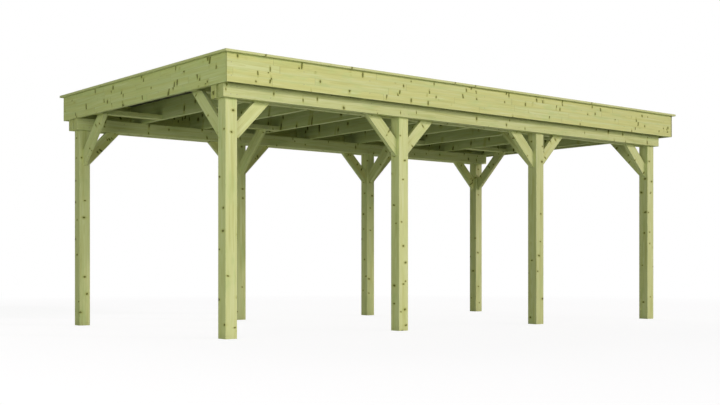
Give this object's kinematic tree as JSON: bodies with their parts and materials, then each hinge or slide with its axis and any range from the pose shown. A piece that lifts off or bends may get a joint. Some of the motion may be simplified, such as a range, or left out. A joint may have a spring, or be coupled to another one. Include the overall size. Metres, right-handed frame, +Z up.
{
  "type": "carport",
  "caption": "Open flat-roofed timber carport on two rows of square posts, with double purlins, knee braces and a deep fascia.",
  "frame": {"origin": "on the ground, under the middle of the roof edge", "axes": "+X along the carport towards the drained end, +Y across it, +Z up"},
  "size_m": [6.181, 3.129, 2.36],
  "materials": {
    "post_timber": "planed softwood, pressure-treated, pale green",
    "purlin_timber": "planed softwood, pressure-treated, pale green",
    "brace_timber": "planed softwood, pressure-treated, pale green",
    "rafter_timber": "planed softwood, pressure-treated, pale green",
    "fascia_timber": "planed softwood board, pressure-treated, small dark knots",
    "cap_timber": "planed softwood board, pressure-treated, pale",
    "roof_sheet": "coated steel sheet, matt dark grey",
    "gutter_metal": "coated steel, matt grey"
  },
  "bodies": {
    "root": {"post_front_1": "post_timber", "braces_front_1": "brace_timber", "post_front_2": "post_timber", "braces_front_2": "brace_timber", "post_front_3": "post_timber", "braces_front_3": "brace_timber", "post_front_4": "post_timber", "braces_front_4": "brace_timber", "purlin_front_outer": "purlin_timber", "purlin_front_inner": "purlin_timber", "post_back_1": "post_timber", "braces_back_1": "brace_timber", "post_back_2": "post_timber", "braces_back_2": "brace_timber", "post_back_3": "post_timber", "braces_back_3": "brace_timber", "post_back_4": "post_timber", "braces_back_4": "brace_timber", "purlin_back_outer": "purlin_timber", "purlin_back_inner": "purlin_timber", "rafter_1": "rafter_timber", "rafter_2": "rafter_timber", "rafter_3": "rafter_timber", "rafter_4": "rafter_timber", "rafter_5": "rafter_timber", "rafter_6": "rafter_timber", "rafter_7": "rafter_timber", "rafter_8": "rafter_timber", "rafter_9": "rafter_timber", "noggings": "rafter_timber", "fascia_front": "fascia_timber", "cap_front": "cap_timber", "fascia_far_end": "fascia_timber", "cap_far_end": "cap_timber", "fascia_back": "fascia_timber", "cap_back": "cap_timber", "fascia_near_end": "fascia_timber", "cap_near_end": "cap_timber", "rim_batten_front": "rafter_timber", "rim_batten_back": "rafter_timber", "rim_batten_near_end": "rafter_timber", "roof_sheet_1": "roof_sheet", "roof_sheet_2": "roof_sheet", "roof_sheet_3": "roof_sheet", "gutter": "gutter_metal"}
  },
  "joints": []
}
